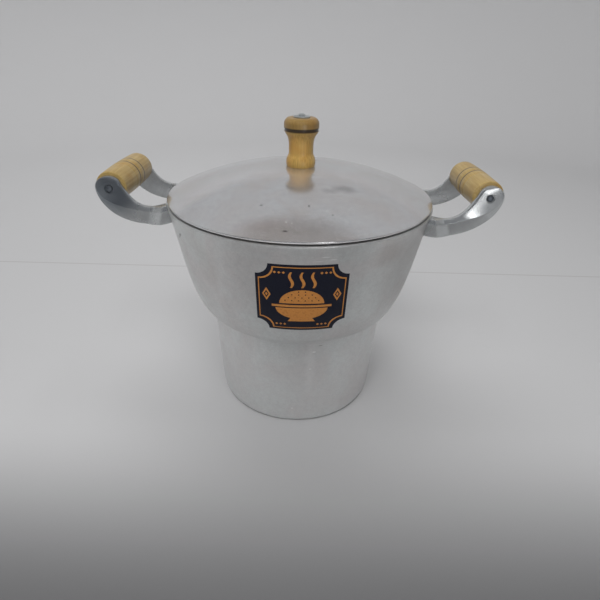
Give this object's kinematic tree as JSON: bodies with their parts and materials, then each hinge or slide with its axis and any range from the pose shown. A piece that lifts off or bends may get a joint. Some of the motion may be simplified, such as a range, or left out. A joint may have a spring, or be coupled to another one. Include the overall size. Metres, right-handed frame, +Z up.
{
  "type": "couscous steamer",
  "caption": "Cast aluminium steamer with a narrow water pot, wider bowl, perforated lift-out plate, domed lid with a turned wooden knob, and wooden grips on cast arms.",
  "frame": {"origin": "on the axis of the pot, at the middle of the underside of its base", "axes": "+Z up along the pot's axis, +X from the pot's axis towards the right grip, +Y to the rear"},
  "size_m": [0.3442, 0.2396, 0.278],
  "materials": {
    "cast_aluminium": "cast aluminium, turned and lightly polished, satin with fine scratches",
    "varnished_wood": "turned pale wood under clear varnish, with burnt lines",
    "plated_steel": "zinc-plated steel bolts, nuts and washers"
  },
  "bodies": {
    "pot": {"pot_body": "cast_aluminium", "left_front_arm": "cast_aluminium", "left_rear_arm": "cast_aluminium", "right_front_arm": "cast_aluminium", "right_rear_arm": "cast_aluminium", "left_front_rivet_lower": "cast_aluminium", "left_front_rivet_upper": "cast_aluminium", "left_rear_rivet_lower": "cast_aluminium", "left_rear_rivet_upper": "cast_aluminium", "right_front_rivet_lower": "cast_aluminium", "right_front_rivet_upper": "cast_aluminium", "right_rear_rivet_lower": "cast_aluminium", "right_rear_rivet_upper": "cast_aluminium", "left_grip_bolt": "plated_steel", "left_grip_nut": "plated_steel", "right_grip_bolt": "plated_steel", "right_grip_nut": "plated_steel"},
    "lid": {"lid_plate": "cast_aluminium", "knob": "varnished_wood", "knob_bolt": "plated_steel", "knob_washer": "plated_steel", "lid_washer": "plated_steel", "knob_nut": "plated_steel"},
    "plate": {"steam_plate": "cast_aluminium", "lifting_stem": "cast_aluminium", "pull_ring": "cast_aluminium", "stem_nut": "plated_steel"},
    "left_handle": {"left_grip": "varnished_wood"},
    "right_handle": {"right_grip": "varnished_wood"}
  },
  "joints": [
    {"name": "lid_lift", "type": "slide", "parent": "pot", "child": "lid", "axis": [0, 0, 1], "range_m": [0, 0.15]},
    {"name": "steam_plate_lift", "type": "slide", "parent": "pot", "child": "plate", "axis": [0, 0, 1], "range_m": [0, 0.044]},
    {"name": "left_grip_turn", "type": "hinge", "parent": "pot", "child": "left_handle", "pos_m": [-0.1585, 0, 0.221], "axis": [0, 1, 0], "continuous": true},
    {"name": "right_grip_turn", "type": "hinge", "parent": "pot", "child": "right_handle", "pos_m": [0.1585, 0, 0.221], "axis": [0, 1, 0], "continuous": true}
  ]
}
